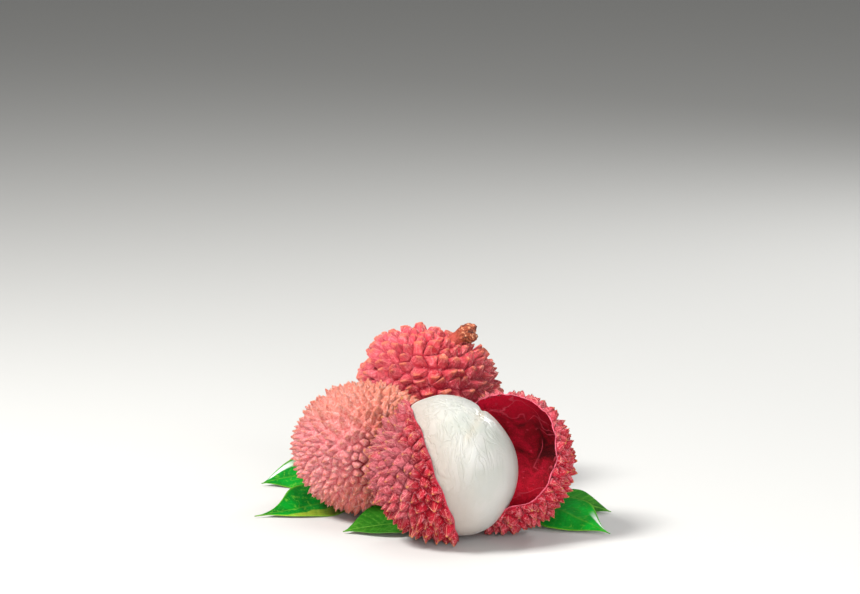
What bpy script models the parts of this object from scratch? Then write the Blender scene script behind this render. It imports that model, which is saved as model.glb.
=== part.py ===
"""A bunch of lychees lying on a table.

Two whole fruits and one opened fruit stand close together with five of their
leaves.  The opened fruit is a half of skin that still holds the flesh; the
other half of its skin leans beside it, hollow side out.  Millimetres are used
for every dimension below and turned into metres where a mesh is written.

The working frame has the opened fruit's axis at X = Y = 0 and the table at
Z = 0; the last step moves everything so that the bunch's box stands on the
world origin.
"""

import math

import bmesh
import bpy
import numpy as np
from mathutils import Vector

METRES = 0.001

# Skin of a lychee
TUBERCLE = 1.5  # from the valleys of the skin to the tubercles' tips
WALL = 0.95  # skin under the valleys
GAP = 0.3  # clearance between pieces that touch
JITTER = 0.16  # how far a tubercle strays from an even lattice, in spacings

# Opened fruit
OPEN_TIPS = (17.9, 16.0, 17.7)  # semi-axes over the tips
OPEN_FACE = (0.94, 0.07, 0.33)  # the way its cut faces
OPEN_CUT = -1.8  # the cut's distance from the fruit's centre along that way
SWELL = 2.7  # how far the bare flesh stands proud of the flesh still in the skin
SWELL_FROM = 1.3  # distance past the cut where it starts to
SWELL_RUN = 5.0  # and the distance over which it does

# Empty half of its skin
EMPTY_TIPS = (17.5, 17.5, 17.5)
EMPTY_PLACE = (14.8, 8.6)
EMPTY_FACE = (-0.62, -0.70, 0.34)

# Whole fruits: place on the table, semi-axes over the tips, lean of the stem end
LEFT_TIPS = (18.4, 15.8, 16.6)
LEFT_PLACE = (-18.4, 27.3)
BACK_TIPS = (18.8, 17.0, 17.2)
BACK_APEX = 26.0  # the back fruit tapers to its apex over this length
BACK_PLACE = (-3.0, 56.9)
BACK_LEAN = math.radians(27)

# Stem stub of the back fruit
STEM_RADIUS = 2.1
STEM_WAIST = 0.3  # how much thinner it is in the middle, as a share
STEM_LENGTH = 5.2
STEM_ROOT = 1.6  # how deep it goes into the fruit
STEM_BEND = math.radians(60)
STEM_RINGS = 7
STEM_SIDES = 10
SOCKET_PAST = 4.5  # how far the socket's cutter stands out past the valleys
SOCKET_FLARE = 1.2  # how much wider it is there

# Leaves
BLADE = 0.45  # thickness in the middle of a blade
EDGE = 0.55  # thickness of its edges as a share of that
STALK = 1.1  # diameter of a leaf's stalk
TIP = 0.3  # half the width of a leaf's very tip
LEAF_CURL = 0.3  # how much further a leaf's edges lift
LEAF_STATIONS = 22  # sections along a leaf
LEAF_ACROSS = 7  # points across it

CLAY_RED = (0.62, 0.09, 0.11)
ROSE_RED = (0.55, 0.06, 0.10)
SALMON = (0.80, 0.32, 0.27)
CRIMSON = (0.48, 0.02, 0.06)
FLESH = (0.86, 0.87, 0.82)
BARK = (0.30, 0.12, 0.05)
LEAF_DARK = (0.03, 0.24, 0.03)
LEAF_LIGHT = (0.10, 0.30, 0.03)


def clear_scene():
    for obj in list(bpy.data.objects):
        bpy.data.objects.remove(obj, do_unlink=True)


def material(name, colour, roughness):
    made = bpy.data.materials.new(name)
    made.use_nodes = True
    shader = made.node_tree.nodes["Principled BSDF"]
    shader.inputs["Base Color"].default_value = (*colour, 1)
    shader.inputs["Roughness"].default_value = roughness
    shader.inputs["Metallic"].default_value = 0
    return made


def link(name, mesh, finish=None):
    obj = bpy.data.objects.new(name, mesh)
    bpy.context.scene.collection.objects.link(obj)
    if finish:
        mesh.materials.append(finish)
    return obj


def even_directions(count, seed):
    """Unit vectors on a Fibonacci lattice, each strayed a little."""
    i = np.arange(count) + 0.5
    z = 1 - 2 * i / count
    turn = i * math.pi * (3 - math.sqrt(5))
    r = np.sqrt(1 - z * z)
    points = np.stack([r * np.cos(turn), r * np.sin(turn), z], axis=1)
    spacing = math.sqrt(4 * math.pi / count)
    stray = np.random.default_rng(seed).normal(size=points.shape)
    points += stray * spacing * JITTER
    return points / np.linalg.norm(points, axis=1, keepdims=True)


def tubercled_bmesh(count, seed, shape):
    """A closed skin of pyramids: one tip for each direction, with valleys between them.

    shape(direction, height) gives the point of the skin that way, height above
    the valleys.
    """
    bm = bmesh.new()
    for point in even_directions(count, seed):
        bm.verts.new(point)
    bmesh.ops.convex_hull(bm, input=bm.verts)
    tips = list(bm.verts)
    ties = list(bm.edges)
    poked = bmesh.ops.poke(bm, faces=bm.faces[:])
    valleys = poked["verts"]
    bmesh.ops.rotate_edges(bm, edges=ties, use_ccw=False)
    for vert in tips:
        vert.co = shape(vert.co.normalized(), TUBERCLE) * METRES
    for vert in valleys:
        vert.co = shape(vert.co.normalized(), 0) * METRES
    bmesh.ops.triangulate(bm, faces=bm.faces[:])
    bmesh.ops.recalc_face_normals(bm, faces=bm.faces[:])
    return bm


def ellipsoid(tips):
    """The shape function of an ellipsoid given its semi-axes over the tips."""

    def shape(way, height):
        return Vector(w * (a - TUBERCLE + height) for w, a in zip(way, tips))

    return shape


def tapering(tips, apex, lean):
    """An egg whose stem end leans towards +X and whose other end tapers over apex."""

    def shape(way, height):
        length = tips[2] if way.z > 0 else apex
        axes = (tips[0], tips[1], length)
        x, y, z = (w * (a - TUBERCLE + height) for w, a in zip(way, axes))
        cos, sin = math.cos(lean), math.sin(lean)
        return Vector((x * cos + z * sin, y, z * cos - x * sin))

    return shape


def skin(name, count, seed, shape, place, finish):
    """A tubercled fruit whose lowest tip stands on the table at place."""
    bm = tubercled_bmesh(count, seed, shape)
    lowest = min(vert.co.z for vert in bm.verts)
    mesh = bpy.data.meshes.new(name)
    bm.to_mesh(mesh)
    bm.free()
    obj = link(name, mesh, finish)
    obj.location = (place[0] * METRES, place[1] * METRES, -lowest)
    return obj


def ball(name, axes, shape=None):
    """A smooth ball of the given semi-axes; shape can move its points, in millimetres."""
    bm = bmesh.new()
    bmesh.ops.create_icosphere(bm, subdivisions=4, radius=1)
    for vert in bm.verts:
        point = Vector(v * a for v, a in zip(vert.co, axes))
        vert.co = (shape(point) if shape else point) * METRES
    mesh = bpy.data.meshes.new(name)
    bm.to_mesh(mesh)
    bm.free()
    mesh.shade_smooth()
    return link(name, mesh)


def as_cutter(obj):
    obj.hide_render = True
    obj.display_type = "WIRE"
    return obj


def cut(obj, cutter):
    tool = obj.modifiers.new("cut_" + cutter.name, "BOOLEAN")
    tool.operation = "DIFFERENCE"
    tool.solver = "EXACT"
    tool.object = as_cutter(cutter)


def half_space(name, centre, facing, distance):
    """A block that covers everything further than distance along facing."""
    size = 60
    way = Vector(facing).normalized()
    bm = bmesh.new()
    bmesh.ops.create_cube(bm, size=size * METRES)
    mesh = bpy.data.meshes.new(name)
    bm.to_mesh(mesh)
    bm.free()
    obj = link(name, mesh)
    obj.rotation_mode = "QUATERNION"
    obj.rotation_quaternion = way.to_track_quat("Z", "Y")
    obj.location = centre + way * (distance + size / 2) * METRES
    return obj


def half_skin(name, count, seed, tips, place, facing, distance, finish):
    """One half of an emptied skin: tubercles outside, a smooth hollow, a flat rim."""
    obj = skin(name, count, seed, ellipsoid(tips), place, finish)
    hollow = ball(name + "_hollow", [a - TUBERCLE - WALL for a in tips])
    hollow.location = obj.location
    cut(obj, hollow)
    cut(obj, half_space(name + "_rim", obj.location, facing, distance))
    return obj


def flesh(name, centre, finish):
    """White flesh: it fills the skin up to the cut and swells past it."""
    facing = Vector(OPEN_FACE).normalized()
    inside = [a - TUBERCLE - WALL - GAP for a in OPEN_TIPS]

    def swollen(point):
        past = (point.dot(facing) - OPEN_CUT - SWELL_FROM) / SWELL_RUN
        share = min(max(past, 0), 1)
        grown = SWELL * share * share * (3 - 2 * share)
        return point * (1 + grown / point.length)

    obj = ball(name, inside, swollen)
    obj.data.materials.append(finish)
    obj.location = centre
    return obj


def stem_stub(name, fruit, finish):
    """A short woody stub rooted in the back fruit's shoulder and bent outwards."""
    bm = bmesh.new()
    rings = []
    lean = Vector((math.sin(BACK_LEAN), 0, math.cos(BACK_LEAN)))
    point = lean * (BACK_TIPS[2] - TUBERCLE - STEM_ROOT)
    for k in range(STEM_RINGS):
        share = k / (STEM_RINGS - 1)
        angle = BACK_LEAN + STEM_BEND * share
        way = Vector((math.sin(angle), 0, math.cos(angle)))
        across = Vector((math.cos(angle), 0, -math.sin(angle)))
        radius = STEM_RADIUS * (1 - STEM_WAIST * math.sin(math.pi * share))
        ring = []
        for s in range(STEM_SIDES):
            turn = 2 * math.pi * s / STEM_SIDES
            rim = across * math.cos(turn) + Vector((0, math.sin(turn), 0))
            ring.append(bm.verts.new((point + rim * radius) * METRES))
        rings.append(ring)
        point = point + way * (STEM_LENGTH + STEM_ROOT) / (STEM_RINGS - 1)
    for lower, upper in zip(rings, rings[1:]):
        for s in range(STEM_SIDES):
            t = (s + 1) % STEM_SIDES
            bm.faces.new((lower[s], lower[t], upper[t], upper[s]))
    bm.faces.new(rings[0])
    bm.faces.new(rings[-1])
    bmesh.ops.recalc_face_normals(bm, faces=bm.faces[:])
    mesh = bpy.data.meshes.new(name)
    bm.to_mesh(mesh)
    bm.free()
    obj = link(name, mesh, finish)
    obj.location = fruit.location


def stem_socket(name, fruit):
    """The dimple that the stub stands in, wider at its mouth, cut from the fruit."""
    lean = Vector((math.sin(BACK_LEAN), 0, math.cos(BACK_LEAN)))
    floor = BACK_TIPS[2] - TUBERCLE - STEM_ROOT - GAP
    depth = STEM_ROOT + GAP + SOCKET_PAST
    bm = bmesh.new()
    bmesh.ops.create_cone(
        bm,
        cap_ends=True,
        segments=16,
        radius1=STEM_RADIUS + GAP,
        radius2=STEM_RADIUS + GAP + SOCKET_FLARE,
        depth=depth,
    )
    bmesh.ops.scale(bm, vec=(METRES, METRES, METRES), verts=bm.verts)
    mesh = bpy.data.meshes.new(name)
    bm.to_mesh(mesh)
    bm.free()
    socket = link(name, mesh)
    socket.rotation_euler = (0, BACK_LEAN, 0)
    socket.location = fruit.location + lean * (floor + depth / 2) * METRES
    cut(fruit, socket)


def smooth_path(knots, count):
    """count points, evenly spread in parameter, on a Catmull-Rom curve through knots."""
    knots = np.array(knots, float)
    ends = np.vstack([2 * knots[0] - knots[1], knots, 2 * knots[-1] - knots[-2]])
    at = np.linspace(0, len(knots) - 1, count)
    i = np.minimum(at.astype(int), len(knots) - 2)
    t = (at - i)[:, None]
    a, b, c, d = (ends[i + k] for k in range(4))
    return 0.5 * (
        2 * b
        + (c - a) * t
        + (2 * a - 5 * b + 4 * c - d) * t**2
        + (3 * b - a - 3 * c + d) * t**3
    )


def half_widths(share, width):
    """Half the leaf's width along it: a long drawn-out tip, and a stalk at its base."""
    blade = np.sin(np.pi * np.clip(share / 0.95, 0, 1)) ** 1.5
    return np.maximum(width / 2 * blade, TIP + (STALK / 2 - TIP) * share)


def leaf(name, knots, width, front_rise, back_rise, finish):
    """A leaf folded along its midrib, from its tip, knots[0], to its stalk's end.

    front_rise and back_rise are the angles, in degrees, by which its halves on the
    -Y and the +Y side stand up from level.
    """
    share = np.linspace(0, 1, LEAF_STATIONS)
    rib = smooth_path(knots, LEAF_STATIONS)
    along = np.gradient(rib, axis=0)
    along /= np.linalg.norm(along, axis=1, keepdims=True)
    side = np.cross(along, (0, 0, 1))
    side *= np.sign(side[:, 1:2]) / np.linalg.norm(side, axis=1, keepdims=True)
    up = np.cross(along, side)
    up *= np.sign(up[:, 2:])
    reach = half_widths(share, width)
    s = np.linspace(-1, 1, LEAF_ACROSS)
    rise = np.radians(np.where(s < 0, front_rise, back_rise))
    stalk = np.clip((share - 0.85) / 0.1, 0, 1)[:, None]
    rise = rise[None, :] * (1 - stalk)
    out = reach[:, None] * s[None, :] * np.cos(rise)
    lift = reach[:, None] * np.abs(s)[None, :] * np.sin(rise)
    lift += LEAF_CURL * (reach[:, None] / (width / 2)) * s[None, :] ** 2
    middle = (
        rib[:, None, :]
        + out[:, :, None] * side[:, None, :]
        + lift[:, :, None] * up[:, None, :]
    )
    blade = BLADE * (1 - (1 - EDGE) * s**2)
    thick = blade[None, :] + stalk * (STALK * np.sqrt(1.04 - s**2) - blade)[None, :]
    normal = np.cross(np.gradient(middle, axis=1), np.gradient(middle, axis=0))
    normal /= np.linalg.norm(normal, axis=2, keepdims=True)
    normal *= np.sign(np.sum(normal * up[:, None, :], axis=2, keepdims=True))
    top = middle + normal * thick[:, :, None] / 2
    bottom = middle - normal * thick[:, :, None] / 2
    loops = np.concatenate([top, bottom[:, ::-1]], axis=1) * METRES
    bm = bmesh.new()
    rings = [[bm.verts.new(point) for point in loop] for loop in loops]
    count = 2 * LEAF_ACROSS
    for near, far in zip(rings, rings[1:]):
        for k in range(count):
            n = (k + 1) % count
            bm.faces.new((near[k], near[n], far[n], far[k]))
    for ring in (rings[0], rings[-1]):
        for k in range(LEAF_ACROSS - 1):
            bm.faces.new((ring[k], ring[k + 1], ring[count - 2 - k], ring[count - 1 - k]))
    bmesh.ops.triangulate(bm, faces=bm.faces[:])
    bmesh.ops.recalc_face_normals(bm, faces=bm.faces[:])
    mesh = bpy.data.meshes.new(name)
    bm.to_mesh(mesh)
    bm.free()
    mesh.shade_smooth()
    mesh.set_sharp_from_angle(angle=math.radians(50))
    obj = link(name, mesh, finish)
    lowest = min(vert.co.z for vert in mesh.vertices)
    obj.location.z = max(0.0, -lowest)
    return obj


def stand_on_origin(objects):
    """Moves everything so that the box of the visible pieces stands on the origin."""
    bpy.context.view_layer.update()
    graph = bpy.context.evaluated_depsgraph_get()
    corners = []
    for obj in objects:
        if obj.hide_render:
            continue
        shown = obj.evaluated_get(graph)
        corners += [shown.matrix_world @ Vector(c) for c in shown.bound_box]
    low = [min(c[i] for c in corners) for i in range(3)]
    high = [max(c[i] for c in corners) for i in range(3)]
    shift = Vector((-(low[0] + high[0]) / 2, -(low[1] + high[1]) / 2, -low[2]))
    for obj in objects:
        obj.location += shift


def main():
    clear_scene()
    clay = material("red_skin", CLAY_RED, 0.55)
    rose = material("rose_skin", ROSE_RED, 0.55)
    salmon = material("salmon_skin", SALMON, 0.6)
    crimson = material("crimson_skin", CRIMSON, 0.45)
    white = material("white_flesh", FLESH, 0.25)
    bark = material("stem_bark", BARK, 0.8)
    dark_leaf = material("dark_leaf", LEAF_DARK, 0.35)
    light_leaf = material("light_leaf", LEAF_LIGHT, 0.4)

    held = half_skin(
        "open_fruit_skin", 330, 3, OPEN_TIPS, (0, 0), OPEN_FACE, OPEN_CUT, rose
    )
    flesh("open_fruit_flesh", held.location, white)
    half_skin(
        "empty_skin_half", 330, 5, EMPTY_TIPS, EMPTY_PLACE, EMPTY_FACE, 0, crimson
    )
    skin("left_fruit", 360, 7, ellipsoid(LEFT_TIPS), LEFT_PLACE, salmon)
    egg = tapering(BACK_TIPS, BACK_APEX, BACK_LEAN)
    back = skin("back_fruit", 260, 11, egg, BACK_PLACE, clay)
    stem_stub("back_fruit_stem", back, bark)
    stem_socket("back_fruit_socket", back)

    leaf(
        "leaf_left_low",
        [(-45.2, 24.5, 0.5), (-37, 28.0, 1.0), (-28, 34.5, 1.4), (-14, 43.5, 1.0)],
        15, -11, 30, dark_leaf,
    )
    leaf(
        "leaf_left_high",
        [(-45.3, 58.7, 0.5), (-37, 60.5, 1.8), (-26, 61.5, 2.4), (-13.5, 61, 0.8)],
        14, -22, 32, dark_leaf,
    )
    leaf(
        "leaf_front",
        [(-23.4, 7.5, 0.6), (-16, 10, 1.2), (-8, 12.5, 1.5), (3, 18, 0.8)],
        15, -4, 24, light_leaf,
    )
    leaf(
        "leaf_right_low",
        [(39.9, 6.5, 0.5), (33.5, 12.5, 2.2), (26, 19, 3.8), (14, 29, 0.8)],
        14, -24, 12, dark_leaf,
    )
    leaf(
        "leaf_right_high",
        [(41.2, 28, 0.5), (34, 31, 1.8), (25, 35, 2.4), (11, 39, 0.8)],
        12, -22, 18, light_leaf,
    )
    stand_on_origin(list(bpy.data.objects))


main()
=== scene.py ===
import math

import bpy
import numpy as np
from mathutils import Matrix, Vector


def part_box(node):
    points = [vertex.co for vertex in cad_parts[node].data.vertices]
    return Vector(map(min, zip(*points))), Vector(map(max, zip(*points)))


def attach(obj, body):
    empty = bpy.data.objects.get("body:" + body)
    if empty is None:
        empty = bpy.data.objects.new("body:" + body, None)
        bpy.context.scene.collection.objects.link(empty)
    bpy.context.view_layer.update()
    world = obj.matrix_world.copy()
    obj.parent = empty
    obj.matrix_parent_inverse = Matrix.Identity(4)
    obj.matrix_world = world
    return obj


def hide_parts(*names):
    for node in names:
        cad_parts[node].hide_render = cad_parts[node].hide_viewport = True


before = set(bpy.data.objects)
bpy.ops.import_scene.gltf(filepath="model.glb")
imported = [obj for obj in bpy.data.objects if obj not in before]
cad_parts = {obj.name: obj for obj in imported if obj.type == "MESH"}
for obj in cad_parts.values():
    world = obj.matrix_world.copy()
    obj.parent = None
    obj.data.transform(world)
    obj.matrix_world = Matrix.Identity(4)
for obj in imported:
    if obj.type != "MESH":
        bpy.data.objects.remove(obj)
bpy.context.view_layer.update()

mm = 0.001  # every length below is in millimetres until a mesh is written


def unit(vectors):
    # each vector divided by its length
    return vectors / np.maximum(np.linalg.norm(vectors, axis=-1, keepdims=True), 1e-12)


def smooth(low, high, values):
    # s = t^2 (3 - 2 t), with t the share of the way from low to high
    t = np.clip((values - low) / (high - low), 0, 1)
    return t * t * (3 - 2 * t)


def latticeValue(i, j, k, seed):
    # a number from 0 to 1 for each whole lattice point, mixed from its bits
    h = (i * 374761393 + j * 668265263 + k * 2246822519 + seed * 3266489917) & 0xFFFFFFFF
    h = ((h ^ (h >> 13)) * 1274126177) & 0xFFFFFFFF
    return ((h ^ (h >> 16)) & 0xFFFFFF) / 0xFFFFFF


def noiseAt(points, size, seed):
    # value noise from -1 to 1: the eight lattice values round each point, blended by s(t)
    scaled = points / size + 1000.0
    whole = np.floor(scaled).astype(np.int64)
    part = scaled - whole
    part = part * part * (3 - 2 * part)
    total = np.zeros(len(points))
    for a in (0, 1):
        for b in (0, 1):
            for c in (0, 1):
                share = (
                    (part[:, 0] if a else 1 - part[:, 0])
                    * (part[:, 1] if b else 1 - part[:, 1])
                    * (part[:, 2] if c else 1 - part[:, 2])
                )
                total += share * latticeValue(
                    whole[:, 0] + a, whole[:, 1] + b, whole[:, 2] + c, seed
                )
    return 2 * total - 1


def layeredNoise(points, size, seed, layers=3):
    # sum of noiseAt at size, size/2, size/4 ... each half as strong
    total = np.zeros(len(points))
    for layer in range(layers):
        total += noiseAt(points, size / 2**layer, seed + layer) / 2**layer
    return total / (2 - 0.5 ** (layers - 1))


def gridFaces(rows, columns, start=0, wrap=False):
    # quads between neighbouring points of a rows x columns grid
    j = np.arange(columns if wrap else columns - 1)
    i = np.arange(rows - 1)[:, None]
    a = i * columns + j
    b = i * columns + (j + 1) % columns
    return np.stack([a, b, b + columns, a + columns], axis=-1).reshape(-1, 4) + start


def ballWays(n):
    # directions through an even grid on each face of a cube, u = tan(pi/4 a), merged at the seams
    a = np.tan(np.linspace(-1, 1, n + 1) * math.pi / 4)
    u, v = np.meshgrid(a, a, indexing="ij")
    one = np.ones_like(u)
    sides = [(one, u, v), (-one, v, u), (v, one, u), (u, -one, v), (u, v, one), (v, u, -one)]
    points = np.concatenate([np.stack(side, axis=-1).reshape(-1, 3) for side in sides])
    faces = np.concatenate([gridFaces(n + 1, n + 1, k * (n + 1) ** 2) for k in range(6)])
    _, first, index = np.unique(
        np.round(points * 1e6).astype(np.int64), axis=0, return_index=True, return_inverse=True
    )
    return unit(points[first]), index.reshape(-1)[faces]


def discGrid(n):
    # the square grid laid on a disc: rings of the square become rings of the disc
    a = np.linspace(-1, 1, n)
    u, v = np.meshgrid(a, a, indexing="ij")
    wide = np.abs(u) >= np.abs(v)
    safeU = np.where(u == 0, 1e-9, u)
    safeV = np.where(v == 0, 1e-9, v)
    turn = np.where(wide, math.pi / 4 * v / safeU, math.pi / 2 - math.pi / 4 * u / safeV)
    reach = np.where(wide, u, v)
    return np.abs(reach), turn + np.where(reach < 0, math.pi, 0)


def evenSeeds(count, stray, seed, crowd=1.0):
    # a spiral lattice of directions; crowd over 1 packs them closer round +Z
    rng = np.random.default_rng(seed)
    share = (np.arange(count) + 0.5) / count
    z = 1 - 2 * share**crowd
    turn = np.arange(count) * math.pi * (3 - math.sqrt(5))
    r = np.sqrt(1 - z * z)
    points = np.stack([r * np.cos(turn), r * np.sin(turn), z], axis=1)
    spacing = math.sqrt(4 * math.pi / count)
    points += rng.normal(size=points.shape) * spacing * stray
    return unit(points)


def tubercleField(ways, seeds, look):
    # Each way belongs to its nearest seed. Towards neighbour j it is e_j from the border, and
    # the cell's apex is a_j from it, so rise = min over j of e_j / a_j: 0 in the grooves, 1 at
    # the apex, with flat flanks between. A ridge of half length s along t takes s |t . n_j|
    # off each a_j, which makes a roof of the pyramid. about is the place round the apex in mm.
    rng = np.random.default_rng(look["seed"] + 1)
    spacing = math.sqrt(4 * math.pi / len(seeds))
    apexes = seeds + rng.normal(size=seeds.shape) * spacing * look["offCentre"]
    ridges = unit(np.array(look["ridgeWay"]) + rng.normal(size=seeds.shape) * look["ridgeStray"])
    ridges -= seeds * np.einsum("nd,nd->n", seeds, ridges)[:, None]
    half = look["ridge"] * spacing * rng.uniform(0.3, 1.0, len(seeds))
    east = unit(np.cross(seeds, [0.31, 0.17, 0.93]))
    north = np.cross(seeds, east)
    rise = np.empty(len(ways))
    cell = np.empty(len(ways), np.int64)
    about = np.empty((len(ways), 2))
    for part in np.array_split(np.arange(len(ways)), 12):
        u = ways[part]
        near = u @ seeds.T
        close = np.argpartition(-near, 9, axis=1)[:, :9]
        order = np.argsort(-np.take_along_axis(near, close, axis=1), axis=1)
        close = np.take_along_axis(close, order, axis=1)
        own = close[:, 0]
        gap = seeds[close[:, 1:]] - seeds[own][:, None, :]
        length = np.linalg.norm(gap, axis=2)
        towards = gap / length[:, :, None]
        middle = (seeds[close[:, 1:]] + seeds[own][:, None, :]) / 2
        e = np.einsum("nkd,nkd->nk", middle - u[:, None, :], towards)
        a = np.einsum("nkd,nkd->nk", middle - apexes[own][:, None, :], towards)
        a = a - np.abs(np.einsum("nd,nkd->nk", ridges[own], towards)) * half[own][:, None]
        rise[part] = np.clip((e / np.maximum(a, 0.15 * length)).min(axis=1), 0, 1)
        cell[part] = own
        off = u - apexes[own]
        about[part, 0] = np.einsum("nd,nd->n", off, east[own])
        about[part, 1] = np.einsum("nd,nd->n", off, north[own])
    return {"rise": rise, "cell": cell, "about": about * look["radius"]}


def meshPiece(name, points, faces, values=None, vectors=None):
    # points in millimetres; values and vectors are arrays kept on the points for the materials
    mesh = bpy.data.meshes.new(name)
    faces = np.asarray(faces)
    size = faces.shape[1]
    mesh.vertices.add(len(points))
    mesh.vertices.foreach_set("co", (np.asarray(points) * mm).astype(np.float32).ravel())
    mesh.loops.add(faces.size)
    mesh.loops.foreach_set("vertex_index", faces.astype(np.int32).ravel())
    mesh.polygons.add(len(faces))
    mesh.polygons.foreach_set("loop_start", np.arange(0, faces.size, size, dtype=np.int32))
    mesh.update(calc_edges=True)
    mesh.validate()
    for key, array in (values or {}).items():
        held = mesh.attributes.new(key, "FLOAT", "POINT")
        held.data.foreach_set("value", np.asarray(array, np.float32).ravel())
    for key, array in (vectors or {}).items():
        held = mesh.attributes.new(key, "FLOAT_VECTOR", "POINT")
        held.data.foreach_set("vector", np.asarray(array, np.float32).ravel())
    mesh.shade_smooth()
    piece = bpy.data.objects.new(name, mesh)
    bpy.context.scene.collection.objects.link(piece)
    return piece


def seated(points, node):
    # moves points so that their box has the node's middle in X and Y, and stands at its height
    low, high = (np.array(corner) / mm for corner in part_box(node))
    middle = (points.min(axis=0) + points.max(axis=0)) / 2
    shift = (low + high) / 2 - middle
    shift[2] = low[2] - points[:, 2].min()
    return points + shift


def middleOf(node, axes, corner):
    # the middle of a ball of these half axes that fills one corner of the node's box
    low, high = (np.array(end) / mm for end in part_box(node))
    axes = np.array(axes)
    return np.where(np.array(corner) > 0, high - axes, low + axes)


def finished(piece, node, material):
    # every piece rides on the one body and stands for its CAD node
    piece.data.materials.append(material)
    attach(piece, "root")
    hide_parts(node)
    return piece


def paint(red, green, blue):
    # screen colour, 0 to 255, as the linear colour that a shader takes
    shares = np.array([red, green, blue]) / 255
    linear = np.where(shares <= 0.04045, shares / 12.92, ((shares + 0.055) / 1.055) ** 2.4)
    return (*[float(c) for c in linear], 1.0)


# short ways to add and join the nodes of one tree
class Nodes:
    def __init__(self, tree):
        self.tree = tree

    def add(self, kind, **settings):
        node = self.tree.nodes.new(kind)
        for key, value in settings.items():
            setattr(node, key, value)
        return node

    def put(self, socket, value):
        if isinstance(value, bpy.types.NodeSocket):
            self.tree.links.new(value, socket)
        else:
            socket.default_value = value

    def math(self, operation, a, b=0.0):
        node = self.add("ShaderNodeMath", operation=operation)
        self.put(node.inputs[0], a)
        self.put(node.inputs[1], b)
        return node.outputs[0]

    def vector(self, operation, a, b=(0, 0, 0)):
        node = self.add("ShaderNodeVectorMath", operation=operation)
        self.put(node.inputs[0], a)
        if operation == "SCALE":
            self.put(node.inputs["Scale"], b)
        else:
            self.put(node.inputs[1], b)
        return node.outputs["Value" if operation in ("LENGTH", "DOT_PRODUCT") else 0]

    def mix(self, share, a, b, blend="MIX"):
        node = self.add("ShaderNodeMix", data_type="RGBA", blend_type=blend)
        self.put(node.inputs[0], share)
        self.put(node.inputs[6], a)
        self.put(node.inputs[7], b)
        return node.outputs[2]

    def over(self, colour, mask, share, tint, blend="MIX"):
        # the tint lies over the colour, with this share where the mask is 1
        return self.mix(self.math("MULTIPLY", mask, share), colour, paint(*tint), blend)

    def between(self, value, low, high, first=0.0, last=1.0):
        node = self.add("ShaderNodeMapRange", interpolation_type="SMOOTHSTEP")
        for index, number in enumerate((value, low, high, first, last)):
            self.put(node.inputs[index], number)
        return node.outputs[0]

    def noise(self, vector, scale, detail=4.0, rough=0.55, twist=0.0):
        node = self.add("ShaderNodeTexNoise")
        self.put(node.inputs["Vector"], vector)
        keys = ("Scale", "Detail", "Roughness", "Distortion")
        for key, number in zip(keys, (scale, detail, rough, twist)):
            self.put(node.inputs[key], number)
        return node.outputs["Fac"]

    def attribute(self, name, vector=False):
        node = self.add("ShaderNodeAttribute", attribute_name=name)
        return node.outputs["Vector" if vector else "Fac"]

    def bump(self, height, strength, distance):
        node = self.add("ShaderNodeBump")
        self.put(node.inputs["Strength"], strength)
        self.put(node.inputs["Distance"], distance)
        self.put(node.inputs["Height"], height)
        return node.outputs["Normal"]


def newMaterial(name):
    made = bpy.data.materials.new(name)
    made.use_nodes = True
    nodes = Nodes(made.node_tree)
    return made, nodes, made.node_tree.nodes["Principled BSDF"]


def setShader(shader, values):
    # shader values that are the same all over the surface
    for key, value in values.items():
        shader.inputs[key].default_value = value


def newGroup(name, vector, numbers, outputs):
    # a group that takes one vector and some numbers, and puts out masks or heights
    tree = bpy.data.node_groups.new(name, "ShaderNodeTree")
    tree.interface.new_socket(vector, in_out="INPUT", socket_type="NodeSocketVector")
    for socket, value in numbers.items():
        made = tree.interface.new_socket(socket, in_out="INPUT", socket_type="NodeSocketFloat")
        made.default_value = value
    for socket in outputs:
        tree.interface.new_socket(socket, in_out="OUTPUT", socket_type="NodeSocketFloat")
    nodes = Nodes(tree)
    return tree, nodes, nodes.add("NodeGroupInput").outputs, nodes.add("NodeGroupOutput").inputs


def grainGroup():
    # fine cellular grain: a mottled mask for colour and a height for bump, on any vector
    numbers = {"Size": 1.0, "Twist": 0.5}
    tree, n, given, out = newGroup("grain", "Vector", numbers, ("Mottle", "Height"))
    scaled = n.vector("SCALE", given["Vector"], given["Size"])
    broad = n.noise(scaled, 1.0, 5.0, 0.6, given["Twist"])
    fine = n.noise(scaled, 6.0, 3.0, 0.6)
    n.put(out["Mottle"], n.between(broad, 0.33, 0.67))
    n.put(out["Height"], n.math("ADD", broad, n.math("MULTIPLY", fine, 0.35)))
    return tree


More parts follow.
